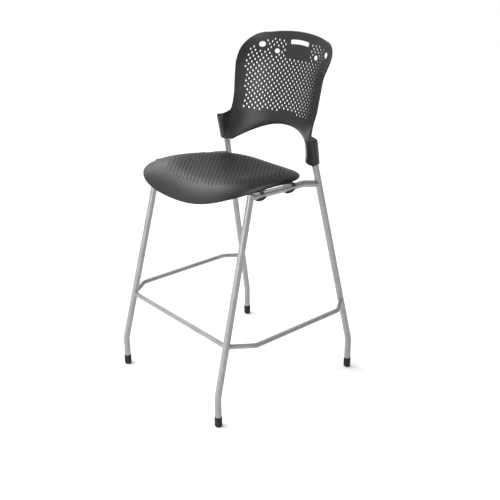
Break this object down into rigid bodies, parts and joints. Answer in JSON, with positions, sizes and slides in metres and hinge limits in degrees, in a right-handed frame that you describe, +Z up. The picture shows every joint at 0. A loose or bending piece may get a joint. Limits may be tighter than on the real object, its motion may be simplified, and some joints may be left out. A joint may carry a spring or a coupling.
{
  "type": "stacking chair",
  "caption": "Bar-height stacking stool with a bent round-tube frame, foot bar, side stretchers, a perforated saddle seat shell and a perforated wrap-around back shell.",
  "frame": {"origin": "on the floor, at the centre of the chair's footprint", "axes": "+Z up, the sitter faces -Y, +X is the sitter's left"},
  "size_m": [0.6338, 0.6108, 1.152],
  "materials": {
    "frame_coat": "satin silver powder coat",
    "shell_plastic": "fine satin moulded polypropylene, charcoal",
    "black_nylon": "moulded nylon",
    "black_rubber": "matte rubber",
    "zinc_screw": "zinc plated"
  },
  "bodies": {
    "root": {"left_leg_and_rail_tube": "frame_coat", "left_rear_upright_tube": "frame_coat", "left_side_stretcher": "frame_coat", "left_sleeve_screw": "zinc_screw", "left_upright_end_plug": "black_nylon", "left_leg_top_cap": "black_nylon", "left_front_seat_clip": "black_nylon", "left_rear_seat_clip": "black_nylon", "left_front_stacking_bumper": "black_rubber", "left_rear_stacking_bumper": "black_rubber", "left_front_foot_glide": "black_rubber", "left_rear_foot_glide": "black_rubber", "right_leg_and_rail_tube": "frame_coat", "right_rear_upright_tube": "frame_coat", "right_side_stretcher": "frame_coat", "right_sleeve_screw": "zinc_screw", "right_upright_end_plug": "black_nylon", "right_leg_top_cap": "black_nylon", "right_front_seat_clip": "black_nylon", "right_rear_seat_clip": "black_nylon", "right_front_stacking_bumper": "black_rubber", "right_rear_stacking_bumper": "black_rubber", "right_front_foot_glide": "black_rubber", "right_rear_foot_glide": "black_rubber", "front_foot_bar": "frame_coat", "front_seat_cross_tube": "frame_coat", "rear_seat_cross_tube": "frame_coat", "seat_shell": "shell_plastic", "back_shell": "shell_plastic", "front_left_seat_screw": "zinc_screw", "front_right_seat_screw": "zinc_screw", "rear_left_seat_screw": "zinc_screw", "rear_right_seat_screw": "zinc_screw"}
  },
  "joints": []
}
